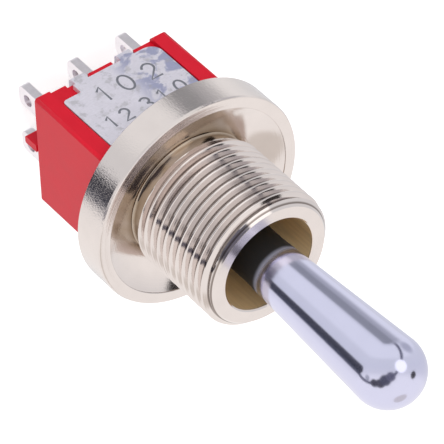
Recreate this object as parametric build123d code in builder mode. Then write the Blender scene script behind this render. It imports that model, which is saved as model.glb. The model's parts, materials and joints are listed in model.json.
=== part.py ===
from build123d import *
from math import acos, asin, cos, radians, sin, sqrt, tan
import os

os.makedirs("parts", exist_ok=True)

# Sealed miniature panel toggle switch, two poles, on - off - on. All sizes are in millimetres.
# The origin is the centre of the flange's front rim, on the bushing axis. +Z points out of the
# panel along the lever, +X runs along a row of three solder lugs, and the lever swings in XZ.

# Threaded bushing with its round sealing flange
thread_radius = 5.953
bushing_length = 8.84
end_chamfer = 0.68
flange_radius = 9.525
flange_thickness = 3.0
flange_edge_chamfer = 0.2
rim_width = 1.025
dish_depth = 1.25
neck_radius = 5.4
mouth_radius = 4.175
mouth_bore_depth = 6.6
throat_radius = 3.3
boss_radius = 4.15
boss_gap = 0.4
boss_web = 0.75
boss_depth = 1.1

# Lever, its cross pin and its rubber seal
pivot_height = 0.6
lever_throw_deg = 12.0
lever_top = 25.86
lever_tip_radius = 2.97
bat_taper_deg = 3.2
stem_radius = 2.15
shoulder_radius = 2.4
shoulder_half_height = 1.0
tail_depth = 6.7
pin_radius = 0.6
pin_half_length = 3.7
pin_running_gap = 0.05
pin_end_gap = 0.05
press_gap = 0.01
seal_running_gap = 0.08
seal_over_pin = 0.15
seal_collar_top = 3.9
seal_collar_wall = 0.55

# Actuator block, spring plungers and springs
barrel_radius = 1.2
actuator_top = 4.7
actuator_bottom = 8.0
hub_wall = 0.5
hub_web = 0.265
spring_bore_roof = 0.4
plunger_radius = 0.8
plunger_gap = 0.05
plunger_guide = 1.1
plunger_nose_radius = 0.25
plunger_nose_length = 0.55
spigot_radius = 0.42
spigot_length = 0.5
spring_wire_radius = 0.11
spring_coil_radius = 0.58
spring_turns = 2

# Rocking contacts
rocker_axis_depth = 10.0
rocker_ratio = 0.5
rocker_overhang = 0.05
rocker_half_width = 1.0
rocker_thickness = 0.4
rocker_flat = 0.55
rocker_rise_deg = 13.5
rocker_waist_half_width = 0.5
rocker_gap = 0.03
plunger_tip_gap = 0.03

# Terminals with their solder lugs, and the fixed contact buttons
terminal_thickness = 0.76
terminal_to_wall = 0.8
terminal_width = 1.98
terminal_tip_depth = 16.6
lug_hole_radius = 0.52
lug_hole_from_tip = 1.2
lug_corner_radius = 0.55
knife_side_gap = 0.05
head_thickness = 0.5
head_reach = 1.45
head_bend_radius = 0.45
contact_radius = 0.65
contact_height = 0.35
contact_from_blade = 0.3
contact_gap = 0.03

# Moulded case
case_length = 12.7
case_depth = 10.9
case_bottom = 12.7
case_end_rib = 1.43
case_recess = 0.5
case_top_chamfer = 0.4
case_corner_radius = 0.3
case_end_chamfer = 0.25
cavity_floor = 11.0
end_wall = 0.85
side_wall = 0.65
cavity_corner_radius = 0.4
divider_thickness = 1.06
divider_top = 8.45
barrier_thickness = 0.7
barrier_height = 1.5
barrier_edge = 0.15
slot_gap = 0.02
well_depth = 0.5
well_end_step = 0.05
well_inner_y = 0.55
well_wall = 0.95
well_corner_radius = 0.5

# Stamped steel frame
frame_thickness = 0.45
frame_side_gap = 0.12
frame_gap = 0.02
frame_bend_radius = 0.7
arm_end = 11.93
arm_corner_radius = 1.1
shoulder_end = 10.9
shoulder_width = 1.75
shoulder_corner_radius = 0.35
tab_width = 1.25
tab_offset = 2.2
tab_reach = 1.27
tab_bend_radius = 0.42
pocket_depth = 0.33
pocket_side_gap = 0.45
hole_gap = 0.03

# Levels and places that follow from the sizes above
flange_back = -flange_thickness
web_back = flange_back - frame_thickness
boss_end = flange_back - boss_depth
mouth_floor = bushing_length - mouth_bore_depth
rim_outer_radius = flange_radius - flange_edge_chamfer
rim_inner_radius = flange_radius - rim_width
slot_half_width = pin_radius + pin_running_gap
slot_reach = pin_half_length + pin_end_gap
seal_radius = throat_radius - seal_running_gap
case_half_length = case_length / 2
case_half_depth = case_depth / 2
rib_inner_x = case_half_length - case_end_rib
recess_y = case_half_depth - case_recess
arm_inner_y = recess_y + frame_gap
arm_outer_y = arm_inner_y + frame_thickness
frame_half_width = rib_inner_x - frame_side_gap
tab_end_y = arm_outer_y - tab_reach
cavity_half_length = case_half_length - end_wall
cavity_half_width = recess_y - side_wall
well_half_length = cavity_half_length - well_end_step
well_outer_y = recess_y - well_wall
boss_half_width = cavity_half_width - boss_gap
boss_half_length = frame_half_width - boss_web
pole_y_offset = (cavity_half_width + divider_thickness / 2) / 2
pole_pitch = 2 * pole_y_offset
terminal_pitch = cavity_half_length - terminal_to_wall
pocket_floor = pocket_depth - case_bottom
spring_bore_radius = plunger_radius + plunger_gap
tail_radius = pole_y_offset - spring_bore_radius - hub_web
hub_radius = tail_radius + hub_wall
spring_bore_top = -actuator_top - spring_bore_roof
plunger_shoulder = -actuator_bottom + plunger_guide
rocker_axis = -rocker_axis_depth
knife_radius = terminal_thickness / 2
rocker_under = rocker_axis + knife_radius + rocker_gap
rocker_top = rocker_under + rocker_thickness
plunger_tip = rocker_top + plunger_tip_gap
rocker_half_length = terminal_pitch + rocker_overhang
contact_x = terminal_pitch - contact_from_blade

poles = {"a": pole_y_offset, "b": -pole_y_offset}
throws = {"1": -terminal_pitch, "2": 0.0, "3": terminal_pitch}


def rocker_height_at_throw(x):
    """Height of a rocking contact's underside at distance x from its middle, at full throw."""
    tilt = radians(rocker_ratio * lever_throw_deg)
    slope = radians(rocker_rise_deg) - tilt
    foot = knife_radius + rocker_gap
    corner_x = rocker_flat * cos(tilt) + foot * sin(tilt)
    corner_z = foot * cos(tilt) - rocker_flat * sin(tilt)
    return rocker_axis + corner_z + (x - corner_x) * tan(slope)


# The contact buttons end just under the rocking contact at full throw.
contact_top = rocker_height_at_throw(contact_x - contact_radius) - contact_gap
head_top = contact_top - contact_height


# Bushing: one turned piece with flange, dished seal seat, neck, barrel and stepped bore
with BuildPart() as bushing:
    with BuildSketch(Plane.XZ) as bushing_section:
        with BuildLine():
            Polyline(
                (throat_radius, mouth_floor),
                (throat_radius, boss_end),
                (boss_radius, boss_end),
                (boss_radius, flange_back),
                (flange_radius, flange_back),
                (flange_radius, -flange_edge_chamfer),
                (rim_outer_radius, 0),
                (rim_inner_radius, 0),
                (neck_radius, -dish_depth),
                (neck_radius, 0),
                (thread_radius, 0),
                (thread_radius, bushing_length - end_chamfer),
                (thread_radius - end_chamfer, bushing_length),
                (mouth_radius, bushing_length),
                (mouth_radius, mouth_floor),
                close=True,
            )
        make_face()
    revolve(axis=Axis.Z)
    # Four flats on the boss keep the bushing from turning in the frame.
    with BuildSketch(Plane.XY.offset(boss_end)):
        Rectangle(4 * boss_radius, 4 * boss_radius)
        Rectangle(2 * boss_half_length, 2 * boss_half_width, mode=Mode.SUBTRACT)
    extrude(amount=boss_depth, mode=Mode.SUBTRACT)
    # Pin slots run up from the underside to a round seat at the pivot.
    with BuildSketch(Plane.XZ):
        with Locations((0, pivot_height)):
            Circle(slot_half_width)
        with Locations((0, (pivot_height + boss_end) / 2)):
            Rectangle(2 * slot_half_width, pivot_height - boss_end)
    extrude(amount=slot_reach, both=True, mode=Mode.SUBTRACT)

bushing.part.label = "bushing"
export_step(bushing.part, "parts/bushing.step")


# Lever: turned bat handle, stem, shoulder and tail in one piece
tip_centre = lever_top - lever_tip_radius
bat_angle = radians(bat_taper_deg)
bat_top_radius = lever_tip_radius * cos(bat_angle)
bat_top = tip_centre - lever_tip_radius * sin(bat_angle)
bat_bottom = bat_top - (bat_top_radius - stem_radius) / tan(bat_angle)
shoulder_top = pivot_height + shoulder_half_height
shoulder_bottom = pivot_height - shoulder_half_height
stem_foot = shoulder_top + shoulder_radius - stem_radius
tail_head = shoulder_bottom - shoulder_radius + tail_radius

with BuildPart() as lever:
    with BuildSketch(Plane.XZ):
        with BuildLine():
            Polyline(
                (0, lever_top),
                (0, -tail_depth),
                (tail_radius, -tail_depth),
                (tail_radius, tail_head),
                (shoulder_radius, shoulder_bottom),
                (shoulder_radius, shoulder_top),
                (stem_radius, stem_foot),
                (stem_radius, bat_bottom),
                (bat_top_radius, bat_top),
            )
            CenterArc((0, tip_centre), lever_tip_radius, -bat_taper_deg, 90 + bat_taper_deg)
        make_face()
    revolve(axis=Axis.Z)
    with BuildSketch(Plane.XZ):
        with Locations((0, pivot_height)):
            Circle(pin_radius + press_gap)
    extrude(amount=2 * shoulder_radius, both=True, mode=Mode.SUBTRACT)

lever.part.label = "lever"
export_step(lever.part, "parts/lever.step")


# Cross pin: pressed through the lever's shoulder, its ends turn in the bushing's slots
with BuildPart() as lever_pin:
    with BuildSketch(Plane.XZ):
        with Locations((0, pivot_height)):
            Circle(pin_radius)
    extrude(amount=pin_half_length, both=True)

lever_pin.part.label = "lever_pin"
export_step(lever_pin.part, "parts/lever_pin.step")


# Rubber seal: a cap on the lever's shoulder, nearly a ball outside, that closes the throat
seal_base = pivot_height + pin_radius + seal_over_pin
seal_collar_radius = stem_radius + seal_collar_wall
seal_base_radius = sqrt(seal_radius**2 - (seal_base - pivot_height) ** 2)
seal_collar_foot = pivot_height + sqrt(seal_radius**2 - seal_collar_radius**2)
seal_base_angle = asin((seal_base - pivot_height) / seal_radius)
seal_mid_angle = (seal_base_angle + acos(seal_collar_radius / seal_radius)) / 2
seal_mid_radius = seal_radius * cos(seal_mid_angle)
seal_mid = pivot_height + seal_radius * sin(seal_mid_angle)

with BuildPart() as lever_seal:
    with BuildSketch(Plane.XZ):
        with BuildLine():
            Polyline(
                (seal_base_radius, seal_base),
                (seal_mid_radius, seal_mid),
                (seal_collar_radius, seal_collar_foot),
                (seal_collar_radius, seal_collar_top),
                (stem_radius + press_gap, seal_collar_top),
                (stem_radius + press_gap, stem_foot),
                (shoulder_radius + press_gap, shoulder_top),
                (shoulder_radius + press_gap, seal_base),
                close=True,
            )
        make_face()
    revolve(axis=Axis.Z)

lever_seal.part.label = "lever_seal"
export_step(lever_seal.part, "parts/lever_seal.step")


# Actuator: moulded block on the lever's tail, with a spring barrel over each pole
with BuildPart() as actuator:
    with BuildSketch(Plane.XY.offset(-actuator_bottom)):
        SlotCenterToCenter(pole_pitch, 2 * barrel_radius, rotation=90)
        Circle(hub_radius)
    extrude(amount=actuator_bottom - actuator_top)
    with Locations((0, 0, -actuator_top)):
        Hole(tail_radius + press_gap, depth=tail_depth - actuator_top + press_gap)
    with BuildSketch(Plane.XY.offset(-actuator_bottom)):
        with GridLocations(0, pole_pitch, 1, 2):
            Circle(spring_bore_radius)
    extrude(amount=actuator_bottom + spring_bore_top, mode=Mode.SUBTRACT)

actuator.part.label = "actuator"
export_step(actuator.part, "parts/actuator.step")


def make_plunger(name, pole_y):
    """Taper-nosed pin that the spring presses on to the rocking contact."""
    with BuildPart() as plunger:
        with BuildSketch(Plane.XZ.offset(-pole_y)):
            with BuildLine():
                Polyline(
                    (0, plunger_tip),
                    (0, plunger_shoulder + spigot_length),
                    (spigot_radius, plunger_shoulder + spigot_length),
                    (spigot_radius, plunger_shoulder),
                    (plunger_radius, plunger_shoulder),
                    (plunger_radius, plunger_tip + plunger_nose_length),
                    (plunger_nose_radius, plunger_tip),
                    close=True,
                )
            make_face()
        revolve(axis=Axis((0, pole_y, 0), (0, 0, 1)))
    plunger.part.label = name
    export_step(plunger.part, f"parts/{name}.step")


def make_spring(name, pole_y):
    """Compression spring between the plunger's shoulder and the roof of its bore."""
    length = spring_bore_top - plunger_shoulder - 2 * (spring_wire_radius + press_gap)
    start = plunger_shoulder + spring_wire_radius + press_gap
    with BuildPart() as spring:
        with BuildLine():
            coil = Helix(
                pitch=length / spring_turns,
                height=length,
                radius=spring_coil_radius,
                center=(0, pole_y, start),
            )
        with BuildSketch(Plane(origin=coil @ 0, z_dir=coil % 0)):
            RegularPolygon(spring_wire_radius, 4)
        sweep(is_frenet=True)
    spring.part.label = name
    export_step(spring.part, f"parts/{name}.step")


def make_rocker(name, pole_y):
    """Rocking contact: a strip with raised ends, waisted where it straddles the knife edge."""
    rise = radians(rocker_rise_deg)
    run = rocker_half_length - rocker_flat
    end_under = rocker_under + run * tan(rise)
    top_shift = rocker_thickness * tan(rise / 2)
    end_top_x = rocker_half_length - rocker_thickness * sin(rise)
    end_top = end_under + rocker_thickness * cos(rise)
    with BuildPart() as rocker:
        with BuildSketch(Plane.XZ.offset(-pole_y)):
            with BuildLine():
                Polyline(
                    (0, rocker_under),
                    (rocker_flat, rocker_under),
                    (rocker_half_length, end_under),
                    (end_top_x, end_top),
                    (rocker_flat - top_shift, rocker_top),
                    (0, rocker_top),
                    close=True,
                )
            make_face()
            mirror(about=Plane.YZ)
        extrude(amount=rocker_half_width, both=True)
        with BuildSketch(Plane.XY.offset(rocker_under)):
            with Locations((0, pole_y)):
                Rectangle(2 * rocker_flat, 4 * rocker_half_width)
                Rectangle(2 * rocker_flat, 2 * rocker_waist_half_width, mode=Mode.SUBTRACT)
        extrude(amount=2 * rocker_thickness, both=True, mode=Mode.SUBTRACT)
        tips = rocker.edges().filter_by(Axis.Z, reverse=True).filter_by(Axis.Y, reverse=True)
        ends = [edge for edge in tips if abs(edge.center().X) > end_top_x]
        fillet(ends, rocker_thickness)
    rocker.part.label = name
    export_step(rocker.part, f"parts/{name}.step")


def make_fixed_contact(name, x, pole_y):
    """Silver contact button on the head of an end terminal."""
    with BuildPart() as contact:
        with BuildSketch(Plane.XY.offset(head_top)):
            with Locations((x, pole_y)):
                Circle(contact_radius)
        extrude(amount=contact_height)
    contact.part.label = name
    export_step(contact.part, f"parts/{name}.step")


def cut_lug(terminal, pole_y):
    """Round the lug's tip corners and pierce its wire hole, in the open terminal block."""
    corners = terminal.edges().filter_by(Axis.X).group_by(Axis.Z)[0]
    fillet(corners, lug_corner_radius)
    with BuildSketch(Plane.YZ) as wire_hole:
        with Locations((pole_y, lug_hole_from_tip - terminal_tip_depth)):
            Circle(lug_hole_radius)
    extrude(wire_hole.sketch, amount=case_length, both=True, mode=Mode.SUBTRACT)


def make_end_terminal(name, x, pole_y):
    """End terminal: a flat blade whose top is bent inward to carry the contact button."""
    inward = -1 if x > 0 else 1
    outer_face = x - inward * terminal_thickness / 2
    inner_face = x + inward * terminal_thickness / 2
    with BuildPart() as terminal:
        with BuildSketch(Plane.XZ.offset(-pole_y)) as profile:
            with BuildLine():
                Polyline(
                    (outer_face, -terminal_tip_depth),
                    (inner_face, -terminal_tip_depth),
                    (inner_face, head_top - head_thickness),
                    (outer_face + inward * head_reach, head_top - head_thickness),
                    (outer_face + inward * head_reach, head_top),
                    (outer_face, head_top),
                    close=True,
                )
            make_face()
            bend = profile.vertices().group_by(Axis.Y)[-1].sort_by(Axis.X)
            fillet(bend[0] if x < 0 else bend[-1], head_bend_radius)
        extrude(amount=terminal_width / 2, both=True)
        cut_lug(terminal, pole_y)
    terminal.part.label = name
    export_step(terminal.part, f"parts/{name}.step")


def make_common_terminal(name, pole_y):
    """Centre terminal: a flat blade with a rounded knife edge between two horns on top."""
    notch_half_width = rocker_waist_half_width + knife_side_gap
    horn_width = terminal_width / 2 - notch_half_width
    horn_centre = notch_half_width + horn_width / 2
    with BuildPart() as terminal:
        with BuildSketch(Plane.XY.offset(-terminal_tip_depth)):
            with Locations((0, pole_y)):
                Rectangle(terminal_thickness, terminal_width)
        extrude(amount=terminal_tip_depth + rocker_axis)
        with BuildSketch(Plane.XZ.offset(-pole_y)):
            with Locations((0, rocker_axis)):
                Circle(knife_radius)
        extrude(amount=terminal_width / 2, both=True)
        with BuildSketch(Plane.XY.offset(rocker_axis)):
            with Locations((0, pole_y - horn_centre), (0, pole_y + horn_centre)):
                Rectangle(terminal_thickness, horn_width)
        extrude(amount=rocker_top - rocker_axis)
        horn_edges = terminal.edges().filter_by(Axis.Y).group_by(Axis.Z)[-1]
        chamfer(horn_edges, knife_radius / 2)
        cut_lug(terminal, pole_y)
    terminal.part.label = name
    export_step(terminal.part, f"parts/{name}.step")


for pole, pole_y in poles.items():
    make_plunger(f"plunger_{pole}", pole_y)
    make_spring(f"plunger_spring_{pole}", pole_y)
    make_rocker(f"rocking_contact_{pole}", pole_y)
    for throw, x in throws.items():
        if x:
            contact_side = contact_x if x > 0 else -contact_x
            make_end_terminal(f"terminal_{pole}{throw}", x, pole_y)
            make_fixed_contact(f"fixed_contact_{pole}{throw}", contact_side, pole_y)
        else:
            make_common_terminal(f"terminal_{pole}{throw}", pole_y)


# Case: one moulding, open at the top, with end ribs that stand proud of the steel frame
with BuildPart() as case:
    with BuildSketch(Plane.YZ) as core_section:
        with Locations((0, (web_back - case_bottom) / 2)):
            Rectangle(2 * recess_y, case_bottom + web_back)
        chamfer(core_section.vertices().group_by(Axis.Y)[-1], case_top_chamfer)
    extrude(amount=rib_inner_x, both=True)
    with BuildSketch(Plane.XY.offset(-case_bottom)):
        with GridLocations(case_length - case_end_rib, 0, 2, 1):
            Rectangle(case_end_rib, case_depth)
    extrude(amount=case_bottom + flange_back)
    outer_corners = case.edges().filter_by(Axis.Z).group_by(Axis.X)
    fillet(outer_corners[0] + outer_corners[-1], case_corner_radius)
    end_edges = case.faces().sort_by(Axis.Z)[0].edges().filter_by(Axis.Y).group_by(Axis.X)
    chamfer(end_edges[0] + end_edges[-1], case_end_chamfer)
    # Mechanism space, with a low wall between the poles
    with BuildSketch(Plane.XY.offset(-cavity_floor)):
        RectangleRounded(2 * cavity_half_length, 2 * cavity_half_width, cavity_corner_radius)
    extrude(amount=cavity_floor, mode=Mode.SUBTRACT)
    with BuildSketch(Plane.XY.offset(-cavity_floor)):
        Rectangle(2 * cavity_half_length, divider_thickness)
    extrude(amount=cavity_floor - divider_top)
    # Barrier between the two rows of lugs
    with BuildSketch(Plane.XY.offset(-case_bottom)):
        Rectangle(case_length, barrier_thickness)
    extrude(amount=-barrier_height)
    barrier_rim = case.edges().filter_by(Axis.X).group_by(Axis.Z)[0]
    fillet(barrier_rim, barrier_edge)
    # Wells for the sealing compound
    with BuildSketch(Plane.XY.offset(-case_bottom)):
        with GridLocations(0, well_outer_y + well_inner_y, 1, 2):
            RectangleRounded(2 * well_half_length, well_outer_y - well_inner_y, well_corner_radius)
    extrude(amount=well_depth, mode=Mode.SUBTRACT)
    # Slots for the terminals
    with BuildSketch(Plane.XY.offset(-cavity_floor)):
        with GridLocations(terminal_pitch, pole_pitch, 3, 2):
            Rectangle(terminal_thickness + 2 * slot_gap, terminal_width + 2 * slot_gap)
    extrude(amount=-case_bottom, mode=Mode.SUBTRACT)
    # Pockets where the frame's tabs are bent over the edge
    pocket_length = case_half_depth - well_outer_y
    with BuildSketch(Plane.XY.offset(-case_bottom)):
        with GridLocations(2 * tab_offset, case_depth - pocket_length, 2, 2):
            Rectangle(tab_width + 2 * pocket_side_gap, pocket_length)
    extrude(amount=pocket_depth, mode=Mode.SUBTRACT)

case.part.label = "case"
export_step(case.part, "parts/case.step")


def make_terminal_seal(name, pole_y):
    """Sealing compound cast round one row of terminals, level with the case's edge."""
    side = 1 if pole_y > 0 else -1
    middle = side * (well_outer_y + well_inner_y) / 2
    with BuildPart() as seal:
        with BuildSketch(Plane.XY.offset(-case_bottom)):
            with Locations((0, middle)):
                RectangleRounded(2 * well_half_length, well_outer_y - well_inner_y, well_corner_radius)
            with Locations((0, pole_y)):
                with GridLocations(terminal_pitch, 0, 3, 1):
                    Rectangle(terminal_thickness, terminal_width, mode=Mode.SUBTRACT)
        extrude(amount=well_depth)
    seal.part.label = name
    export_step(seal.part, f"parts/{name}.step")


for pole, pole_y in poles.items():
    make_terminal_seal(f"terminal_seal_{pole}", pole_y)


# Frame: one steel stamping folded into a U over the case and clinched under its edges
with BuildPart() as frame:
    with BuildSketch(Plane.YZ) as frame_section:
        with Locations((0, (flange_back - arm_end) / 2)):
            Rectangle(2 * arm_outer_y, arm_end + flange_back)
        fillet(frame_section.vertices().group_by(Axis.Y)[-1], frame_bend_radius)
        with BuildSketch(mode=Mode.PRIVATE) as inside:
            with Locations((0, (web_back - arm_end) / 2)):
                Rectangle(2 * arm_inner_y, arm_end + web_back)
            fillet(inside.vertices().group_by(Axis.Y)[-1], frame_bend_radius - frame_thickness)
        add(inside.sketch, mode=Mode.SUBTRACT)
    extrude(amount=frame_half_width, both=True)
    # Hole for the bushing's boss
    with BuildSketch(Plane.XY.offset(web_back)):
        Circle(boss_radius + hole_gap)
        with BuildSketch(mode=Mode.PRIVATE) as band:
            Rectangle(2 * (boss_half_length + hole_gap), 2 * (boss_half_width + hole_gap))
        add(band.sketch, mode=Mode.INTERSECT)
    extrude(amount=frame_thickness, mode=Mode.SUBTRACT)
    # Each arm is stepped back at one corner and rounded at the other, turned about Z on the far arm.
    for side in (1, -1):
        with BuildSketch(Plane.XZ.offset(-side * recess_y)) as step:
            with Locations((side * (shoulder_width / 2 - frame_half_width), -(shoulder_end + arm_end) / 2)):
                Rectangle(shoulder_width, arm_end - shoulder_end)
        extrude(amount=-side * 2 * frame_thickness, mode=Mode.SUBTRACT)
    corner_edges = frame.edges().filter_by(Axis.Y).group_by(Axis.Z)[0]
    outer_ends = [edge for edge in corner_edges if abs(edge.center().X) > frame_half_width - frame_gap]
    fillet(outer_ends, arm_corner_radius)
    step_edges = frame.edges().filter_by(Axis.Y).filter_by_position(
        Axis.Z, -shoulder_end - frame_gap, -shoulder_end + frame_gap
    )
    step_ends = [edge for edge in step_edges if abs(edge.center().X) > frame_half_width - frame_gap]
    fillet(step_ends, shoulder_corner_radius)
    # Clinch tabs: down past the arm, then inward under the case
    for side in (1, -1):
        tab_back = pocket_floor - frame_gap
        tab_face = tab_back - frame_thickness
        for tab_x in (-tab_offset, tab_offset):
            with BuildSketch(Plane.YZ.offset(tab_x)) as tab_section:
                with BuildLine():
                    Polyline(
                        (side * arm_inner_y, -shoulder_end),
                        (side * arm_inner_y, tab_back),
                        (side * tab_end_y, tab_back),
                        (side * tab_end_y, tab_face),
                        (side * arm_outer_y, tab_face),
                        (side * arm_outer_y, -shoulder_end),
                        close=True,
                    )
                make_face()
                bend = tab_section.vertices().group_by(Axis.Y)[0].sort_by(Axis.X)
                fillet(bend[-1] if side > 0 else bend[0], tab_bend_radius)
            extrude(amount=tab_width / 2, both=True)

frame.part.label = "frame"
export_step(frame.part, "parts/frame.step")
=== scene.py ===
"""Panel switch: a sealed miniature toggle switch with its bushing, lever, case, frame and lugs."""

import json
import math

import bmesh
import bpy
from bpy.props import FloatProperty, FloatVectorProperty, IntProperty, PointerProperty
from mathutils import Matrix, Vector


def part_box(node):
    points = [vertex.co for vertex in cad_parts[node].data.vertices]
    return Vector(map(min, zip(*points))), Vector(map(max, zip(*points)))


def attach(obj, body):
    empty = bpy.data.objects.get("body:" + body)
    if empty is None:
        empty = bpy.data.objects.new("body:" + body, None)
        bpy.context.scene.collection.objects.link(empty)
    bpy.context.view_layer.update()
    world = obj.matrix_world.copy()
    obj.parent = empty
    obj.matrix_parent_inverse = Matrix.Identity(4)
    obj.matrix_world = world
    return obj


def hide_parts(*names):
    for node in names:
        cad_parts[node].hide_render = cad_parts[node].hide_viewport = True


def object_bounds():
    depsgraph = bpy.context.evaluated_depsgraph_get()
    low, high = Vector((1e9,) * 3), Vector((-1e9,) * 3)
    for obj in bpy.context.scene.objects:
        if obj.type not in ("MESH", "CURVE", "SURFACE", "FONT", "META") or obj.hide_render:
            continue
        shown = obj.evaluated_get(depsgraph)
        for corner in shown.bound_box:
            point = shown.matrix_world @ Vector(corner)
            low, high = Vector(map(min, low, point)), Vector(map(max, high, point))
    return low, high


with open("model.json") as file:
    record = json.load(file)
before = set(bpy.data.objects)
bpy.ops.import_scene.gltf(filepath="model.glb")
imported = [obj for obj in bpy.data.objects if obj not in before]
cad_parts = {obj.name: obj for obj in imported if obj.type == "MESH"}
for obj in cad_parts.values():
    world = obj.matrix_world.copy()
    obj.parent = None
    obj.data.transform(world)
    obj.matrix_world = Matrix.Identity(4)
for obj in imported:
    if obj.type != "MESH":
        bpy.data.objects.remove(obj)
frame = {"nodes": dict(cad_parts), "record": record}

bl_info = {
    "name": "Panel Switch",
    "version": (1, 0, 0),
    "blender": (4, 5, 0),
    "location": "View3D > Sidebar > Panel Switch",
    "description": "Builds and finishes a sealed miniature toggle switch",
    "category": "Object",
}

CAD_BOX = [list(corner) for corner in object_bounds()]
NODES = frame["nodes"]
BUSHING_LOW, BUSHING_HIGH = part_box("bushing")
LEVER_LOW, LEVER_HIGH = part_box("lever")
FRAME_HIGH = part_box("frame")[1]
MM = 0.001

# Sizes that the pieces beside the bushing and the lever settle.
FLANGE_BACK = -3.0 * MM
BOSS_RADIUS = 4.15 * MM
BOSS_LONG_FLAT = 4.05 * MM
BOSS_SHORT_FLAT = 3.9 * MM
THROAT_RADIUS = 3.3 * MM
MOUTH_RADIUS = 4.175 * MM
MOUTH_DEPTH = 6.6 * MM
MOUTH_BEVEL = 0.12 * MM
NECK_FILLET = 0.25 * MM
FLANGE_BEVEL = 0.2 * MM
RIM_BREAK = 0.06 * MM
PIN_HEIGHT = 0.6 * MM
SLOT_HALF_WIDTH = 0.65 * MM
SLOT_REACH = 3.75 * MM
PIN_HOLE_RADIUS = 0.61 * MM
PIN_HOLE_REACH = 3.0 * MM
SHOULDER_RADIUS = 2.4 * MM
SHOULDER_HALF_HEIGHT = 1.0 * MM
TAIL_RADIUS = 1.3 * MM
TAIL_BEVEL = 0.3 * MM

# Points nearer than this are one point.
MERGE_DISTANCE = 1e-6

# The view of the photograph: the camera's own right, up and backward directions and its place.
VIEW_RIGHT = Vector((0.79239473, -0.02002147, 0.60968002))
VIEW_UP = Vector((0.43763519, 0.71491944, -0.54531242))
VIEW_BACK = Vector((-0.42495414, 0.69892012, 0.5752605))
VIEW_POINT = Vector((-0.126219, 0.207593, 0.173727))
VIEW_LENS = 314.45


def length(name, description, default):
    """A property for a size, in metres."""
    return FloatProperty(
        name=name, description=description, default=default, unit="LENGTH", precision=5
    )


def tint(name, description, default):
    """A property for a colour."""
    return FloatVectorProperty(
        name=name, description=description, default=default, subtype="COLOR", min=0, max=1
    )


class BushingSizes(bpy.types.PropertyGroup):
    """Sizes of the threaded bushing"""

    major_radius: length("Thread radius", "Radius over the thread's crests", 5.953 * MM)
    thread_pitch: length("Thread pitch", "Rise of the thread in one turn", 25.4 / 32 * MM)
    thread_depth: length("Thread depth", "Height of the thread from root to crest", 0.47 * MM)
    thread_start: length("Thread start", "Height where the thread runs out of the neck", -0.35 * MM)
    neck_radius: length("Neck radius", "Radius of the neck between thread and flange", 5.4 * MM)
    end_bevel: length("End bevel", "Width of the bevel at the open end", 0.68 * MM)
    dish_depth: length("Dish depth", "Depth of the dished flange face at the neck", 1.25 * MM)
    dish_sag: length("Dish sag", "How far the dished face lies below a straight cone", 0.14 * MM)
    rim_width: length("Rim width", "Width of the flat sealing rim", 1.025 * MM)
    rim_step: length("Rim step", "Height of the step inside the sealing rim", 0.1 * MM)
    edge_break: length("Edge break", "Width of the bevel on sharp turned edges", 0.05 * MM)
    segments: IntProperty(
        name="Segments", description="Faces around the bushing", default=160, min=24
    )
    rows: IntProperty(
        name="Rows", description="Rows of faces in one turn of the thread", default=24, min=8
    )


class LeverSizes(bpy.types.PropertyGroup):
    """Sizes of the bat lever"""

    tip_radius: length("Tip radius", "Radius of the lever's round tip", 2.97 * MM)
    stem_radius: length("Stem radius", "Radius of the lever where it leaves the bushing", 2.15 * MM)
    taper: FloatProperty(
        name="Taper",
        description="Half angle of the tapered bat",
        default=math.radians(3.2),
        subtype="ANGLE",
    )
    segments: IntProperty(name="Segments", description="Faces around the lever", default=96, min=24)


class MarkingSizes(bpy.types.PropertyGroup):
    """Sizes of the figures stamped in the frame"""

    stroke: length("Stroke", "Width of a stamped line", 0.2 * MM)
    proud: length("Proud", "Height of the raised burr along a stamped line", 0.012 * MM)


class SwitchColours(bpy.types.PropertyGroup):
    """Colours of the switch's metals and mouldings"""

    nickel: tint("Nickel", "Bright nickel plate of the bushing", (0.80, 0.74, 0.715))
    bare_brass: tint("Bare brass", "Thinly plated brass in the bore", (0.95, 0.71, 0.40))
    chrome: tint("Chrome", "Chrome plate of the lever", (0.70, 0.71, 0.90))
    case_red: tint("Case red", "Moulding of the case", (0.66, 0.006, 0.024))
    zinc: tint("Frame plate", "Plated steel of the frame", (0.80, 0.78, 0.86))
    tin: tint("Tin", "Tinned solder lugs", (0.95, 0.91, 0.95))


class SwitchSettings(bpy.types.PropertyGroup):
    """Everything a user of the panel switch may change"""

    bushing: PointerProperty(
        type=BushingSizes, name="Bushing", description="Sizes of the bushing"
    )
    lever: PointerProperty(
        type=LeverSizes, name="Lever", description="Sizes of the lever"
    )
    marking: PointerProperty(
        type=MarkingSizes, name="Marking", description="Sizes of the stamped figures"
    )
    colours: PointerProperty(
        type=SwitchColours, name="Colours", description="Colours of the finishes"
    )


class Value:
    """A socket in a node tree. Python's arithmetic on it adds the Math nodes."""

    def __init__(self, tree, socket):
        self.tree = tree
        self.socket = socket

    def __add__(self, other):
        return self.tree.maths("ADD", self, other)

    def __sub__(self, other):
        return self.tree.maths("SUBTRACT", self, other)

    def __mul__(self, other):
        return self.tree.maths("MULTIPLY", self, other)

    def __truediv__(self, other):
        return self.tree.maths("DIVIDE", self, other)

    def __radd__(self, other):
        return self.tree.maths("ADD", other, self)

    def __rsub__(self, other):
        return self.tree.maths("SUBTRACT", other, self)

    def __rmul__(self, other):
        return self.tree.maths("MULTIPLY", other, self)

    def __rtruediv__(self, other):
        return self.tree.maths("DIVIDE", other, self)


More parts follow.
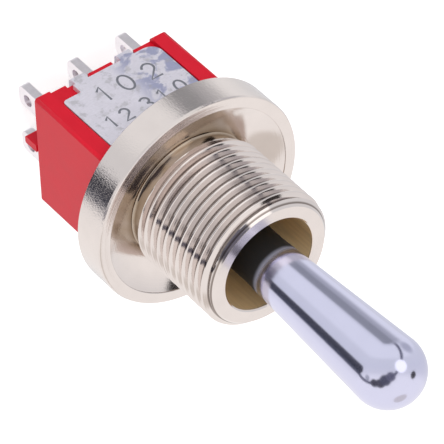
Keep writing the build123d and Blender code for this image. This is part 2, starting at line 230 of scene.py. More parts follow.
class Tree:
    """A node tree that is filled by one method."""

    def __init__(self, nodes, links):
        self.nodes = nodes
        self.links = links

    def node(self, kind, settings=None, sockets=None, out=0):
        """Adds a node, sets it, fills its sockets by name or index, and returns one output."""
        node = self.nodes.new(kind)
        for key, setting in (settings or {}).items():
            if key == "stops":
                self.set_stops(node.color_ramp, setting)
            else:
                setattr(node, key, setting)
        for key, value in (sockets or {}).items():
            if isinstance(value, Value):
                self.links.new(value.socket, node.inputs[key])
            else:
                node.inputs[key].default_value = value
        return Value(self, node.outputs[out]) if len(node.outputs) else node

    @staticmethod
    def set_stops(ramp, stops):
        """Fills a colour ramp from a list of places and colours."""
        while len(ramp.elements) < len(stops):
            ramp.elements.new(1)
        for element, (position, colour) in zip(ramp.elements, stops):
            element.position = position
            element.color = (*colour, 1)

    def maths(self, operation, *operands):
        """A Math node."""
        return self.node("ShaderNodeMath", {"operation": operation}, dict(enumerate(operands)))

    def alignment(self, direction, other):
        """How far two directions agree: the cosine of the angle between them."""
        settings = {"operation": "DOT_PRODUCT"}
        return self.node("ShaderNodeVectorMath", settings, {0: direction, 1: tuple(other)}, "Value")

    def step(self, value, low, high):
        """A smooth ramp from 0 where value is low to 1 where it is high."""
        return self.node(
            "ShaderNodeMapRange",
            {"interpolation_type": "SMOOTHSTEP"},
            {"Value": value, "From Min": low, "From Max": high},
        )

    def mix(self, factor, first, second):
        """Colour first where factor is 0, and second where it is 1."""
        colours = {
            key: colour if isinstance(colour, Value) else (*colour, 1)
            for key, colour in ((6, first), (7, second))
        }
        return self.node("ShaderNodeMix", {"data_type": "RGBA"}, {0: factor, **colours}, 2)

    def shaded(self, factor, colour, strength):
        """Colour darkened or lightened by a factor around 1, strength of the way."""
        amount = 1 + (factor - 0.5) * (2 * strength)
        grey = self.node("ShaderNodeCombineColor", None, {0: amount, 1: amount, 2: amount})
        colour = colour if isinstance(colour, Value) else (*colour, 1)
        settings = {"data_type": "RGBA", "blend_type": "MULTIPLY"}
        return self.node("ShaderNodeMix", settings, {0: 1.0, 6: colour, 7: grey}, 2)


class Finish(Tree):
    """A material whose pattern reads the piece's own coordinates, in millimetres."""

    def __init__(self, name):
        self.material = bpy.data.materials.new(name)
        self.material.use_nodes = True
        tree = self.material.node_tree
        tree.nodes.clear()
        super().__init__(tree.nodes, tree.links)
        place = self.node("ShaderNodeTexCoord", out="Object")
        self.place = self.node(
            "ShaderNodeVectorMath", {"operation": "SCALE"}, {0: place, "Scale": 1 / MM}
        )
        self.x, self.y, self.z = (
            self.node("ShaderNodeSeparateXYZ", None, {0: self.place}, axis) for axis in "XYZ"
        )

    def radius(self):
        """Distance from the switch's axis."""
        return self.maths("SQRT", self.x * self.x + self.y * self.y)

    def stretched(self, scale, turn=(0, 0, 0)):
        """The piece's coordinates, scaled and turned, for a pattern with a direction."""
        values = {"Vector": self.place, "Scale": scale, "Rotation": turn}
        return self.node("ShaderNodeMapping", None, values)

    def noise(self, scale, detail=3.0, roughness=0.5, at=None, distortion=0.0):
        """Cloudy noise with so many features a millimetre."""
        values = {
            "Vector": at or self.place,
            "Scale": scale,
            "Detail": detail,
            "Roughness": roughness,
            "Distortion": distortion,
        }
        return self.node("ShaderNodeTexNoise", None, values)

    def lines(self, along, scale):
        """Noise that changes along one value only, as tool marks do."""
        values = {"W": along, "Scale": scale, "Detail": 4.0}
        return self.node("ShaderNodeTexNoise", {"noise_dimensions": "1D"}, values)

    def bump(self, height, distance):
        """A normal from a height that stands so many metres proud where it is 1."""
        values = {"Height": height, "Distance": distance, "Strength": 1.0}
        return self.node("ShaderNodeBump", None, values)

    def close(self, colour, roughness, metallic=0.0, normal=None, **fixed):
        """Ends the material in one surface shader."""
        values = {"Base Color": colour, "Roughness": roughness, "Metallic": metallic}
        if not isinstance(colour, Value):
            values["Base Color"] = (*colour, 1)
        if normal:
            values["Normal"] = normal
        values.update({key.replace("_", " "): value for key, value in fixed.items()})
        surface = self.node("ShaderNodeBsdfPrincipled", None, values)
        self.node("ShaderNodeOutputMaterial", None, {"Surface": surface})
        return self.material


def put_on(obj, material):
    """Gives every slot of the object this material."""
    if not obj.material_slots:
        obj.data.materials.append(material)
    for slot in obj.material_slots:
        slot.material = material


def nickel_plate(colours):
    """Bright nickel over turned brass, thin in the bore, with lathe lines, painted shade in the
    thread roots, and painted shade and reflection on the neck and the dish beside it.
    """
    # Colours of painted shade: a brown grey for the thread roots, and a dark brown for the neck and
    # the dish beside it, standing in for their shade and reflection.
    root_painted_shade, dish_shade_and_reflection = (0.16, 0.12, 0.10), (0.30, 0.21, 0.11)
    f = Finish("nickel_plate_turned")
    radius = f.radius()
    rings = f.lines(radius, 9.0)
    levels = f.lines(f.z, 9.0)
    grain = f.noise(14.0, 4.0, 0.65)
    speckle = f.noise(7.0, 2.0, 0.6)
    cloud = f.noise(0.6, 2.0)
    # Where each finish and each painted shade begins and ends, by radius and height in millimetres.
    on_wall = f.step(radius, 9.3, 9.45)
    on_thread = f.step(radius, 6.1, 6.0)
    on_rim = f.step(radius, 8.35, 8.5) * f.step(f.z, -0.09, -0.05) * f.step(f.z, 0.09, 0.05)
    on_end = f.step(f.z, 8.80, 8.83) * f.step(radius, 4.18, 4.25)
    in_bore = f.step(radius, 4.30, 4.19) * f.step(f.z, 8.78, 8.6)
    in_root = f.step(radius, 5.60, 5.50) * f.step(radius, 5.42, 5.46) * f.step(f.z, 0.2, 0.3)
    in_dish = f.step(radius, 6.3, 5.4) * f.step(f.z, 0.3, -0.3) * f.step(f.z, -2.0, -1.9)
    plate = f.shaded(cloud, colours.nickel, 0.05)
    # Painted shade: the thread roots above the neck are darkened to a brown grey.
    plate = f.mix(in_root * (1 - in_bore) * 0.8, plate, root_painted_shade)
    # Painted shade and painted reflection: the neck and the dish beside it are tinted dark brown,
    # unevenly in clouds.
    plate_with_painted_shade = f.mix(in_dish * (0.4 + cloud * 0.6), plate, dish_shade_and_reflection)
    streaks = f.noise(2.2, 4.0, 0.6, f.stretched((1, 1, 0.12)))
    brass = f.shaded(streaks, colours.bare_brass, 0.30)
    colour = f.mix(in_bore, plate_with_painted_shade, brass)
    roughness = 0.06 + grain * 0.06 + in_bore * 0.24 + on_end * 0.14
    tool_marks = rings * (1 + on_rim * 7) + levels
    height = tool_marks + grain * (1 - on_thread * 0.8) + speckle * on_wall * 6
    metallic = 1 - in_bore * 0.6
    return f.close(colour, roughness, metallic, f.bump(height, 0.0000022), Specular_IOR_Level=0.15)


def chrome_plate(colours):
    """Polished chrome with faint lengthwise lines, and painted shade low on the stem: a rough near
    black from a little above the bushing's mouth down into it.
    """
    # The near black of the painted shade on the lower stem.
    stem_shade_black = (0.009, 0.009, 0.010)
    f = Finish("chrome_plate_polished")
    lines = f.noise(6.0, 4.0, 0.6, f.stretched((1.0, 1.0, 0.05)))
    cloud = f.noise(0.5, 2.0)
    colour = f.shaded(cloud, colours.chrome, 0.03)
    # Painted shade: the stem turns a rough, dull near black where it goes into the bushing's mouth.
    stem_shade = f.step(f.z + cloud * 0.1, 10.3, 9.5)
    colour = f.mix(stem_shade, colour, stem_shade_black)
    roughness = 0.11 + lines * 0.06 + stem_shade * 0.4
    return f.close(colour, roughness, 1 - stem_shade, f.bump(lines, 0.0000012))


def red_moulding(colours):
    """Glossy moulding with a faint flow pattern and a fine grain."""
    f = Finish("red_moulding_gloss")
    flow = f.noise(0.55, 3.0, 0.55, distortion=0.6)
    grain = f.noise(20.0, 3.0, 0.6)
    colour = f.shaded(flow, colours.case_red, 0.07)
    roughness = 0.26 + flow * 0.08 + grain * 0.06
    normal = f.bump(grain + flow * 3, 0.0000016)
    return f.close(colour, roughness, 0.0, normal, Specular_IOR_Level=0.25)


def frame_plate(colours):
    """Plated steel strip: faintly clouded, finely scratched, with blue-grey patches at one end."""
    blue_grey, spot_grey = (0.36, 0.38, 0.56), (0.45, 0.44, 0.46)
    f = Finish("frame_plate_mottled")
    cloud = f.noise(0.55, 4.0, 0.6, distortion=0.8)
    fine = f.noise(6.0, 4.0, 0.65)
    scratches = f.noise(5.0, 5.0, 0.7, f.stretched((0.3, 1, 2.5), (0, 0.5, 0)))
    dark = f.step(cloud, 0.47, 0.58) * f.step(f.x * f.maths("SIGN", f.y), -0.2, 2.0)
    spots = f.step(f.noise(1.1, 4.0, 0.6), 0.52, 0.66)
    colour = f.mix(dark * 0.9, colours.zinc, blue_grey)
    colour = f.mix(spots * 0.5, colour, spot_grey)
    colour = f.shaded(cloud * 0.3 + fine * 0.3 + scratches * 0.4, colour, 0.30)
    roughness = 0.36 + scratches * 0.14 + fine * 0.08
    height = scratches + cloud * 1.5
    return f.close(colour, roughness, 0.55, f.bump(height, 0.000004))


def tinned(colours):
    """Dipped tin, slightly uneven and satin."""
    f = Finish("tinned_brass_dipped")
    waves = f.noise(1.4, 3.0, 0.5)
    grain = f.noise(16.0, 4.0, 0.6)
    colour = f.shaded(waves * 0.7 + grain * 0.3, colours.tin, 0.16)
    roughness = 0.26 + grain * 0.16
    return f.close(colour, roughness, 1.0, f.bump(waves * 6 + grain, 0.000004))


def plain_metal(name, colour, rough):
    """A drawn or turned metal with fine grain."""
    f = Finish(name)
    grain = f.noise(12.0, 4.0, 0.6)
    colour = f.shaded(grain, colour, 0.12)
    return f.close(colour, rough + grain * 0.12, 1.0, f.bump(grain, 0.000003))


def plain_moulding(name, colour, rough, depth):
    """A moulded, cast or rubber surface with a fine grain."""
    f = Finish(name)
    grain = f.noise(11.0, 4.0, 0.6)
    cloud = f.noise(1.2, 2.0)
    colour = f.shaded(cloud, colour, 0.12)
    return f.close(colour, rough + grain * 0.12, 0.0, f.bump(grain, depth))


def lathe(profile, segments):
    """Turns a list of (radius, height) round the axis. A point at radius 0 is a pole."""
    mesh = bmesh.new()
    turns = [2 * math.pi * k / segments for k in range(segments)]
    rings = []
    for radius, height in profile:
        if radius == 0:
            rings.append([mesh.verts.new((0, 0, height))])
            continue
        ring = [(radius * math.cos(a), radius * math.sin(a), height) for a in turns]
        rings.append([mesh.verts.new(place) for place in ring])
    for near, far in zip(rings, rings[1:]):
        for k in range(segments):
            after = (k + 1) % segments
            corners = [
                near[k % len(near)],
                near[after % len(near)],
                far[after % len(far)],
                far[k % len(far)],
            ]
            mesh.faces.new(list(dict.fromkeys(corners)))
    return mesh


def arc(centre_x, centre_y, wide, high, start, end, count=16):
    """Points on an ellipse between two angles in degrees."""
    angles = [math.radians(start + (end - start) * k / count) for k in range(count + 1)]
    return [(centre_x + wide * math.cos(a), centre_y + high * math.sin(a)) for a in angles]


def prism(outline, half_length):
    """A cutter along Y from an outline of (x, z) points."""
    mesh = bmesh.new()
    ends = [
        [mesh.verts.new((x, y, z)) for x, z in outline]
        for y in (-half_length, half_length)
    ]
    mesh.faces.new(ends[0])
    mesh.faces.new(ends[1][::-1])
    for k in range(len(outline)):
        after = (k + 1) % len(outline)
        mesh.faces.new((ends[0][k], ends[0][after], ends[1][after], ends[1][k]))
    bmesh.ops.recalc_face_normals(mesh, faces=mesh.faces)
    return mesh


def as_object(mesh, name):
    """Puts a bmesh into a new object of the scene."""
    data = bpy.data.meshes.new(name)
    mesh.to_mesh(data)
    mesh.free()
    obj = bpy.data.objects.new(name, data)
    bpy.context.scene.collection.objects.link(obj)
    return obj


def settle(obj):
    """Turns what the modifiers make of the object into its own plain mesh."""
    graph = bpy.context.evaluated_depsgraph_get()
    mesh = bpy.data.meshes.new_from_object(obj.evaluated_get(graph))
    obj.modifiers.clear()
    name, group = obj.name, obj.users_collection[0]
    if obj.type == "MESH":
        obj.data = mesh
    else:
        bpy.data.objects.remove(obj)
        obj = bpy.data.objects.new(name, mesh)
        group.objects.link(obj)
    mesh.name = name
    return obj


def cut(obj, cutter_mesh):
    """Takes the cutter's shape out of the object."""
    cutter = as_object(cutter_mesh, "cutter")
    step = obj.modifiers.new("cut", "BOOLEAN")
    step.operation, step.solver, step.object = "DIFFERENCE", "EXACT", cutter
    settle(obj)
    bpy.data.objects.remove(cutter)


def smooth(mesh, crisp_over):
    """Shades a mesh smooth, with corners over an angle in degrees left crisp."""
    mesh.polygons.foreach_set("use_smooth", [True] * len(mesh.polygons))
    mesh.set_sharp_from_angle(angle=math.radians(crisp_over))


def soften(obj, width):
    """Rounds the edges of a moulded or stamped piece a little."""
    weld = obj.modifiers.new("weld", "WELD")
    weld.merge_threshold = MERGE_DISTANCE
    bevel = obj.modifiers.new("soft_edges", "BEVEL")
    bevel.width, bevel.segments = width, 2
    bevel.limit_method, bevel.angle_limit = "ANGLE", math.radians(50)
    bevel.use_clamp_overlap = True
    bevel.harden_normals = True


def close_up(obj):
    """Merges doubled points and turns the faces outwards."""
    mesh = bmesh.new()
    mesh.from_mesh(obj.data)
    bmesh.ops.remove_doubles(mesh, verts=mesh.verts, dist=MERGE_DISTANCE / 2)
    bmesh.ops.dissolve_degenerate(mesh, edges=mesh.edges, dist=MERGE_DISTANCE / 10)
    bmesh.ops.recalc_face_normals(mesh, faces=mesh.faces)
    mesh.to_mesh(obj.data)
    mesh.free()


class Nodes(Tree):
    """A Geometry Nodes tree with named inputs."""

    def __init__(self, name, inputs):
        """Takes the tree's name and a table of its inputs with their kinds of socket."""
        self.group = bpy.data.node_groups.new(name, "GeometryNodeTree")
        face = self.group.interface
        face.new_socket("Geometry", in_out="INPUT", socket_type="NodeSocketGeometry")
        face.new_socket("Geometry", in_out="OUTPUT", socket_type="NodeSocketGeometry")
        for label, kind in {**inputs, "Material": "NodeSocketMaterial"}.items():
            face.new_socket(label, in_out="INPUT", socket_type=kind)
        super().__init__(self.group.nodes, self.group.links)
        start = self.nodes.new("NodeGroupInput")
        self.given = {socket.name: Value(self, socket) for socket in start.outputs if socket.name}

    def close(self, geometry):
        """Ends the tree in real geometry with its material."""
        real = self.node("GeometryNodeRealizeInstances", None, {0: geometry})
        values = {"Geometry": real, "Material": self.given["Material"]}
        done = self.node("GeometryNodeSetMaterial", None, values)
        self.node("NodeGroupOutput", None, {0: done})

    def run_on(self, obj, values):
        """Adds the tree to an object with its inputs set, and settles the result."""
        keys = {
            item.name: item.identifier
            for item in self.group.interface.items_tree
            if item.in_out == "INPUT"
        }
        step = obj.modifiers.new(self.group.name, "NODES")
        step.node_group = self.group
        for label, value in values.items():
            step[keys[label]] = value
        return settle(obj)


THREAD_INPUTS = {
    "Major radius": "NodeSocketFloat",
    "Neck radius": "NodeSocketFloat",
    "Pitch": "NodeSocketFloat",
    "Depth": "NodeSocketFloat",
    "Start": "NodeSocketFloat",
    "End": "NodeSocketFloat",
    "Bevel": "NodeSocketFloat",
    "Segments": "NodeSocketInt",
    "Rows": "NodeSocketInt",
}


def thread_tree():
    """A sheet whose rows follow the helix, bent round the axis and shaped to the thread's form."""
    half_crest, flank = 1 / 16, 5 / 16
    rounding = 0.02
    run_out_slope = 1.3
    t = Nodes("unified_thread", THREAD_INPUTS)
    g = t.given
    pitch, rows = g["Pitch"], g["Rows"]
    turns = t.maths("CEIL", (g["End"] - g["Start"]) / pitch) + 1
    row_count = turns * rows + 1
    counts = {"Vertices X": g["Segments"] + 1, "Vertices Y": row_count}
    sheet = t.node("GeometryNodeMeshGrid", None, counts, "Mesh")
    index = t.node("GeometryNodeInputIndex")
    column = t.maths("FLOOR", (index + 0.5) / row_count)
    row = index - column * row_count
    round_share = column / g["Segments"]
    height = g["Start"] + pitch * (row / rows - 1 + round_share)
    height = t.maths("MINIMUM", t.maths("MAXIMUM", height, g["Start"]), g["End"])
    # The crest is flat for an eighth of the pitch and the root for a quarter.
    from_crest = 0.5 - t.maths("ABSOLUTE", t.maths("FRACT", row / rows) - 0.5)
    down = (from_crest - half_crest) / flank
    down = t.maths("SMOOTH_MIN", down, 1.0, rounding)
    down = t.maths("SMOOTH_MAX", down, 0.0, rounding)
    thread = g["Major radius"] - g["Depth"] * down
    end_cone = g["Major radius"] - g["Bevel"] + (g["End"] - height)
    start_cone = g["Neck radius"] + (height - g["Start"]) * run_out_slope
    radius = t.maths("MINIMUM", thread, t.maths("MINIMUM", end_cone, start_cone))
    turn = round_share * (2 * math.pi)
    place = t.node(
        "ShaderNodeCombineXYZ",
        None,
        {0: radius * t.maths("COSINE", turn), 1: radius * t.maths("SINE", turn), 2: height},
    )
    bent = t.node("GeometryNodeSetPosition", None, {"Geometry": sheet, "Position": place})
    join = t.nodes.new("GeometryNodeJoinGeometry")
    t.links.new(g["Geometry"].socket, join.inputs[0])
    t.links.new(bent.socket, join.inputs[0])
    joined = {0: Value(t, join.outputs[0]), "Distance": MERGE_DISTANCE}
    t.close(t.node("GeometryNodeMergeByDistance", None, joined))
    return t


class SWITCH_OT_bushing(bpy.types.Operator):
    """Make the threaded bushing with its dished sealing flange"""

    bl_idname = "panel_switch.bushing"
    bl_label = "Make Bushing"

    @staticmethod
    def profile(s):
        """The turned outline without the thread, from the neck over the flange into the bore."""
        fillet_steps, fillet_angle = 4, 70
        dish_steps = 24
        support = 0.25 * MM
        step_gap = 0.02 * MM
        flange = BUSHING_HIGH.x
        top, bottom = BUSHING_HIGH.z, BUSHING_LOW.z
        step_height = top - MOUTH_DEPTH
        e = s.edge_break
        rim = flange - s.rim_width
        fillet_height = NECK_FILLET - s.dish_depth
        profile = [(s.neck_radius, s.thread_start), (s.neck_radius, fillet_height)]
        for k in range(1, fillet_steps + 1):
            a = math.radians(fillet_angle * k / fillet_steps)
            profile.append((
                s.neck_radius + NECK_FILLET * (1 - math.cos(a)),
                fillet_height - NECK_FILLET * math.sin(a),
            ))
        start_radius, start_height = profile[-1]
        rise = -s.rim_step - start_height
        for k in range(1, dish_steps + 1):
            share = k / dish_steps
            profile.append((
                start_radius + (rim - step_gap - start_radius) * share,
                start_height + rise * share - 4 * s.dish_sag * share * (1 - share),
            ))
        # The doubled points beside the bevels keep the flat faces flat in smooth shading.
        return profile + [
            (rim, -e * 0.5),
            (rim + e * 0.5, 0),
            (rim + e, 0),
            (flange - support, 0),
            (flange - FLANGE_BEVEL, 0),
            (flange - RIM_BREAK, -RIM_BREAK),
            (flange, -FLANGE_BEVEL),
            (flange, -support),
            (flange, FLANGE_BACK + FLANGE_BEVEL),
            (flange - FLANGE_BEVEL, FLANGE_BACK),
            (BOSS_RADIUS, FLANGE_BACK),
            (BOSS_RADIUS, bottom + e),
            (BOSS_RADIUS - e, bottom),
            (THROAT_RADIUS, bottom),
            (THROAT_RADIUS, step_height),
            (MOUTH_RADIUS, step_height),
            (MOUTH_RADIUS, top - MOUTH_BEVEL),
            (MOUTH_RADIUS + MOUTH_BEVEL, top),
            (s.major_radius - s.end_bevel, top),
        ]

    def execute(self, context):
        looks = context.scene.panel_switch
        s = looks.bushing
        top, bottom = BUSHING_HIGH.z, BUSHING_LOW.z
        mesh = lathe(self.profile(s), s.segments)
        near = 0.01 * MM
        for vertex in mesh.verts:
            if vertex.co.z < FLANGE_BACK + near and vertex.co.xy.length < BOSS_RADIUS + near:
                vertex.co.x = max(-BOSS_LONG_FLAT, min(BOSS_LONG_FLAT, vertex.co.x))
                vertex.co.y = max(-BOSS_SHORT_FLAT, min(BOSS_SHORT_FLAT, vertex.co.y))
        piece = as_object(mesh, "threaded_bushing")
        material = nickel_plate(looks.colours)
        thread_tree().run_on(piece, {
            "Major radius": s.major_radius,
            "Neck radius": s.neck_radius,
            "Pitch": s.thread_pitch,
            "Depth": s.thread_depth,
            "Start": s.thread_start,
            "End": top,
            "Bevel": s.end_bevel,
            "Segments": s.segments,
            "Rows": s.rows,
            "Material": material,
        })
        close_up(piece)
        half, below = SLOT_HALF_WIDTH, bottom - MM
        slot = [(half, below)] + arc(0, PIN_HEIGHT, half, half, 0, 180, 12) + [(-half, below)]
        cut(piece, prism(slot, SLOT_REACH))
        smooth(piece.data, 27)
        put_on(piece, material)
        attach(piece, "housing")
        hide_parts("bushing")
        return {"FINISHED"}


class SWITCH_OT_lever(bpy.types.Operator):
    """Make the chromed bat lever"""

    bl_idname = "panel_switch.lever"
    bl_label = "Make Lever"

    def execute(self, context):
        looks = context.scene.panel_switch
        s = looks.lever
        tip_steps, bat_steps = 30, 8
        tip = LEVER_HIGH.z - s.tip_radius
        profile = [(0, LEVER_HIGH.z)]
        for k in range(1, tip_steps + 1):
            a = (math.pi / 2 + s.taper) * k / tip_steps
            profile.append((s.tip_radius * math.sin(a), tip + s.tip_radius * math.cos(a)))
        wide, high = profile[-1]
        low = high - (wide - s.stem_radius) / math.tan(s.taper)
        for k in range(1, bat_steps + 1):
            share = k / bat_steps
            profile.append((wide + (s.stem_radius - wide) * share, high + (low - high) * share))
        bottom = LEVER_LOW.z
        shoulder_top = PIN_HEIGHT + SHOULDER_HALF_HEIGHT
        shoulder_foot = PIN_HEIGHT - SHOULDER_HALF_HEIGHT
        profile += [
            (s.stem_radius, shoulder_top + SHOULDER_RADIUS - s.stem_radius),
            (SHOULDER_RADIUS, shoulder_top),
            (SHOULDER_RADIUS, shoulder_foot),
            (TAIL_RADIUS, shoulder_foot - (SHOULDER_RADIUS - TAIL_RADIUS)),
            (TAIL_RADIUS, bottom + TAIL_BEVEL),
            (TAIL_RADIUS - TAIL_BEVEL, bottom),
            (0, bottom),
        ]
        piece = as_object(lathe(profile, s.segments), "lever_handle")
        close_up(piece)
        hole = arc(0, PIN_HEIGHT, PIN_HOLE_RADIUS, PIN_HOLE_RADIUS, 0, 360, 24)[:-1]
        cut(piece, prism(hole, PIN_HOLE_REACH))
        smooth(piece.data, 30)
        put_on(piece, chrome_plate(looks.colours))
        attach(piece, "lever")
        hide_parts("lever")
        return {"FINISHED"}


# Each figure is drawn one unit high in a box 0.6 wide.
FIGURES = {
    "0": [arc(0.3, 0.5, 0.3, 0.5, 90, 450, 32)],
    "1": [[(0.1, 0.78), (0.34, 1.0), (0.34, 0.0)]],
    "2": [arc(0.3, 0.7, 0.27, 0.3, 165, -35) + [(0.02, 0.0), (0.6, 0.0)]],
    "3": [arc(0.27, 0.74, 0.27, 0.26, 150, -90) + arc(0.27, 0.24, 0.3, 0.24, 90, -150)],
}

# Each figure with its left edge along X, the height of its foot and its own height, in
# millimetres. The tops of the figures point down towards the solder lugs.
PLACES = [
    ("1", -2.3, -8.7, 1.8),
    ("0", -0.2, -8.7, 1.8),
    ("2", 2.1, -8.6, 1.8),
    ("1", -3.6, -6.0, 1.35),
    ("2", -2.2, -6.0, 1.35),
    ("3", -0.2, -6.0, 1.35),
    ("1", 1.3, -6.0, 1.35),
    ("0", 3.0, -6.0, 1.35),
]


class SWITCH_OT_marking(bpy.types.Operator):
    """Stamp plain figures in both sides of the frame"""

    bl_idname = "panel_switch.marking"
    bl_label = "Stamp Figures"

    def execute(self, context):
        s = context.scene.panel_switch.marking
        curve = bpy.data.curves.new("stamped_figures", "CURVE")
        curve.dimensions = "3D"
        face = FRAME_HIGH.y
        for side in (1, -1):
            for figure, left, base, high in PLACES:
                for stroke in FIGURES[figure]:
                    spline = curve.splines.new("POLY")
                    spline.points.add(len(stroke) - 1)
                    for point, (x, y) in zip(spline.points, stroke):
                        across, up = side * (left + x * high), base - y * high
                        point.co = (across * MM, side * face, up * MM, 1)
        holder = bpy.data.objects.new("stamped_figures", curve)
        context.scene.collection.objects.link(holder)
        # Painted shade: the stamped lines are coloured a dark grey, much darker than the frame's
        # plate, for the shade in the stamping.
        burr = (0.30, 0.31, 0.35)
        f = Finish("stamped_line")
        grain = f.noise(9.0, 3.0)
        material = f.close(f.shaded(grain, burr, 0.2), 0.35 + grain * 0.15, 1.0)
        t = Nodes("stamped_lines", {"Stroke": "NodeSocketFloat"})
        radius = t.given["Stroke"] * 0.5
        ring = t.node("GeometryNodeCurvePrimitiveCircle", None, {"Resolution": 8, "Radius": radius})
        path = {"Curve": t.given["Geometry"], "Profile Curve": ring, "Fill Caps": True}
        t.close(t.node("GeometryNodeCurveToMesh", None, path))
        piece = t.run_on(holder, {"Stroke": s.stroke, "Material": material})
        # The round tube is pressed flat, so that only a low burr stands proud of the plate.
        for vertex in piece.data.vertices:
            side = 1 if vertex.co.y > 0 else -1
            share = (vertex.co.y - side * face) / s.stroke
            vertex.co.y = side * face + share * 2 * s.proud
        close_up(piece)
        smooth(piece.data, 60)
        put_on(piece, material)
        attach(piece, "housing")
        return {"FINISHED"}


class SWITCH_OT_finishes(bpy.types.Operator):
    """Give the case, frame, lugs and inner pieces their finishes"""

    bl_idname = "panel_switch.finishes"
    bl_label = "Finish Case and Works"

    def execute(self, context):
        colours = context.scene.panel_switch.colours
        slots = {
            "red_moulding": red_moulding(colours),
            "frame_steel": frame_plate(colours),
            "tinned_brass": tinned(colours),
            "nickel_plate": plain_metal("nickel_plate_plain", colours.nickel, 0.12),
            "chrome_plate": plain_metal("chrome_plate_plain", colours.chrome, 0.1),
            "spring_steel": plain_metal("drawn_spring_steel", (0.52, 0.52, 0.54), 0.22),
            "brass": plain_metal("turned_brass", (0.74, 0.56, 0.26), 0.2),
            "contact_brass": plain_metal("silver_washed_brass", (0.80, 0.72, 0.50), 0.24),
            "silver": plain_metal("polished_silver", (0.88, 0.86, 0.82), 0.12),
            "black_rubber": plain_moulding(
                "black_rubber_matt", (0.016, 0.016, 0.017), 0.6, 0.000006
            ),
            "white_nylon": plain_moulding(
                "white_nylon_moulded", (0.78, 0.77, 0.71), 0.45, 0.000003
            ),
            "sealing_compound": plain_moulding(
                "dark_sealing_resin", (0.09, 0.012, 0.012), 0.22, 0.000003
            ),
        }
        for row in frame["record"]["subparts"]:
            put_on(NODES[row["node"]], slots[row["material_slot"]])
        for name, width in (("case", 0.16 * MM), ("frame", 0.08 * MM)):
            soften(NODES[name], width)
        return {"FINISHED"}


def toward(right, up, back):
    """A direction given as the photograph's camera sees it."""
    return (VIEW_RIGHT * right + VIEW_UP * up + VIEW_BACK * back).normalized()


# Soft light and dark of the studio round the switch, as its bright metal shows them: the
# direction as right, up and back in the photograph's view, the half angles in degrees where
# the zone is full and where it ends, and its colour.
STUDIO_ZONES = [
    ((0.06, 0.98, -0.20), 4, 26, (0.46, 0.46, 0.48)),
    ((-0.03, 0.995, -0.09), 9, 12.5, (0.33, 0.335, 0.35)),
    ((-1.0, 0.0, -0.03), 4, 10, (0.06, 0.065, 0.09)),
    ((-0.99, 0.06, 0.07), 7, 9.5, (0.05, 0.05, 0.065)),
    ((-0.87, -0.29, 0.39), 4, 9, (0.45, 0.45, 0.48)),
    ((-0.62, -0.54, 0.57), 9, 13, (0.08, 0.075, 0.09)),
    ((-0.38, -0.58, 0.72), 11, 15, (0.09, 0.085, 0.10)),
    ((-0.16, -0.45, 0.88), 13, 19, (0.10, 0.10, 0.13)),
    ((0.10, -0.28, 0.95), 11, 16, (0.15, 0.145, 0.19)),
    ((0.58, 0.23, 0.78), 16, 19, (1.35, 1.33, 1.32)),
    ((0.62, 0.77, -0.09), 5, 20, (0.52, 0.52, 0.56)),
    ((0.955, -0.165, 0.235), 8, 9.5, (0.04, 0.035, 0.035)),
    ((0.40, -0.90, -0.12), 12, 14, (0.74, 0.69, 0.65)),
]

# The middle of the large soft box, and the half angles in degrees between which its dark
# border shows as a thin ring: where it starts, is full, is full still, and ends.
SOFT_BOX = (-0.508, 0.524, 0.684)
BORDER_ANGLES = (71, 69, 63.5, 61.5)
BORDER_COLOUR = (0.13, 0.13, 0.17)

# The plain brightness of the studio from straight below to straight above in that view.
STUDIO_RAMP = [
    (0.0, (1.0, 0.975, 0.96)),
    (0.35, (1.0, 0.975, 0.96)),
    (0.47, (0.80, 0.79, 0.80)),
    (0.60, (0.76, 0.76, 0.78)),
    (0.76, (0.78, 0.78, 0.79)),
    (0.82, (0.90, 0.895, 0.90)),
    (0.97, (0.90, 0.895, 0.90)),
    (1.0, (0.80, 0.80, 0.82)),
]

# The world's even light on what doesn't mirror it.
FILL_LIGHT = (0.62, 0.62, 0.63)

# Each lamp with its place in metres and its power in watts.
LAMPS = {
    "key_box": ((-0.10, 0.50, 0.30), 1.6),
    "side_box": ((-0.50, 0.05, 0.25), 0.8),
    "front_box": ((0.15, 0.0, 0.60), 0.6),
}
LAMP_SIZE = 0.40

# The floor's grey under the lamps, and what the camera sees on top of it.
PAPER = (0.66, 0.66, 0.66)
PAPER_GLOW = 0.68
FLOOR_RADIUS = 0.5


def light_the_world(scene):
    """White behind the object, plain soft light on it, and the studio's zones in its metal."""
    world = bpy.data.worlds.new("soft_studio")
    world.use_nodes = True
    world.cycles.sampling_method = "NONE"
    scene.world = world
    world.node_tree.nodes.clear()
    t = Tree(world.node_tree.nodes, world.node_tree.links)
    direction = t.node("ShaderNodeTexCoord", out="Generated")
    height = t.alignment(direction, VIEW_UP)
    colour = t.node("ShaderNodeValToRGB", {"stops": STUDIO_RAMP}, {0: height * 0.5 + 0.5})
    near = t.alignment(direction, toward(*SOFT_BOX))
    border = [math.cos(math.radians(angle)) for angle in BORDER_ANGLES]
    edge = t.step(near, border[0], border[1]) * t.step(near, border[3], border[2])
    colour = t.mix(edge, colour, BORDER_COLOUR)
    for place, inner, outer, zone_colour in STUDIO_ZONES:
        near = t.alignment(direction, toward(*place))
        inside = t.step(near, math.cos(math.radians(outer)), math.cos(math.radians(inner)))
        colour = t.mix(inside, colour, zone_colour)
    camera = t.node("ShaderNodeLightPath", out="Is Camera Ray")
    through = t.node("ShaderNodeLightPath", out="Is Transmission Ray")
    mirror = t.node("ShaderNodeLightPath", out="Is Glossy Ray")
    plain = t.mix(mirror, FILL_LIGHT, colour)
    seen = t.mix(t.maths("MAXIMUM", camera, through), plain, (1, 1, 1))
    background = t.node("ShaderNodeBackground", None, {"Color": seen, "Strength": 1.0})
    t.node("ShaderNodeOutputWorld", None, {"Surface": background})


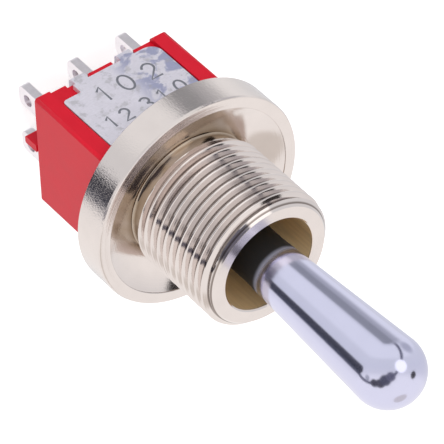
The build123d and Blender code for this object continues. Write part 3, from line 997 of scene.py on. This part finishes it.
def add_lamp(scene, name, place, power):
    """A large square soft box that shines on the switch."""
    lamp = bpy.data.lights.new(name, "AREA")
    lamp.shape = "SQUARE"
    lamp.size = LAMP_SIZE
    lamp.energy = power
    holder = bpy.data.objects.new(name, lamp)
    place = Vector(place)
    turn = place.normalized().to_track_quat("Z", "Y").to_matrix().to_4x4()
    holder.matrix_world = Matrix.Translation(place) @ turn
    holder.visible_glossy = False
    scene.collection.objects.link(holder)


class SWITCH_OT_stage(bpy.types.Operator):
    """Set the pale floor, the soft light and the photograph's camera"""

    bl_idname = "panel_switch.stage"
    bl_label = "Set Stage"

    def execute(self, context):
        scene = context.scene
        scene.view_settings.view_transform = "Standard"
        light_the_world(scene)
        for name, (place, power) in LAMPS.items():
            add_lamp(scene, name, place, power)
        floor_z = CAD_BOX[0][2] - 0.02 * MM
        rings = [(0, floor_z), (FLOOR_RADIUS / 5, floor_z), (FLOOR_RADIUS, floor_z)]
        floor = as_object(lathe(rings, 64), "pale_floor")
        f = Finish("pale_floor_paper")
        camera = f.node("ShaderNodeLightPath", out="Is Camera Ray")
        mirror = f.node("ShaderNodeLightPath", out="Is Glossy Ray")
        grain = f.noise(1.5, 3.0)
        paper = f.node("ShaderNodeBsdfDiffuse", None, {"Color": f.shaded(grain, PAPER, 0.01)})
        light = {"Color": (1, 1, 1, 1), "Strength": camera * PAPER_GLOW}
        glow = f.node("ShaderNodeEmission", None, light)
        lit = f.node("ShaderNodeAddShader", None, {0: paper, 1: glow})
        clear = f.node("ShaderNodeBsdfTransparent")
        surface = f.node("ShaderNodeMixShader", None, {0: mirror, 1: lit, 2: clear})
        f.node("ShaderNodeOutputMaterial", None, {"Surface": surface})
        put_on(floor, f.material)
        lens = bpy.data.cameras.new("photo_view")
        lens.sensor_width = 36
        lens.lens = VIEW_LENS
        lens.clip_start = 0.01
        camera = bpy.data.objects.new("photo_view", lens)
        turn = Matrix((VIEW_RIGHT, VIEW_UP, VIEW_BACK)).transposed().to_4x4()
        camera.matrix_world = Matrix.Translation(VIEW_POINT) @ turn
        scene.collection.objects.link(camera)
        scene.camera = camera
        return {"FINISHED"}


class SWITCH_PT_sidebar(bpy.types.Panel):
    """Sizes, colours and steps of the panel switch"""

    bl_idname = "SWITCH_PT_sidebar"
    bl_label = "Panel Switch"
    bl_space_type = "VIEW_3D"
    bl_region_type = "UI"
    bl_category = "Panel Switch"

    def draw(self, context):
        looks = context.scene.panel_switch
        for group in (looks.bushing, looks.lever, looks.marking, looks.colours):
            box = self.layout.box()
            for key in group.__annotations__:
                box.prop(group, key)
        for step in STEPS:
            self.layout.operator(step.bl_idname)


STEPS = [SWITCH_OT_bushing, SWITCH_OT_lever, SWITCH_OT_marking, SWITCH_OT_finishes, SWITCH_OT_stage]
GROUPS = [BushingSizes, LeverSizes, MarkingSizes, SwitchColours, SwitchSettings]


def register():
    for item in GROUPS + STEPS + [SWITCH_PT_sidebar]:
        bpy.utils.register_class(item)
    bpy.types.Scene.panel_switch = PointerProperty(
        type=SwitchSettings,
        name="Panel switch",
        description="Sizes and colours of the panel switch",
    )


def unregister():
    del bpy.types.Scene.panel_switch
    for item in reversed(GROUPS + STEPS + [SWITCH_PT_sidebar]):
        bpy.utils.unregister_class(item)


def main():
    register()
    bpy.ops.panel_switch.finishes()
    bpy.ops.panel_switch.bushing()
    bpy.ops.panel_switch.lever()
    bpy.ops.panel_switch.marking()
    bpy.ops.panel_switch.stage()


if __name__ == "__main__":
    main()
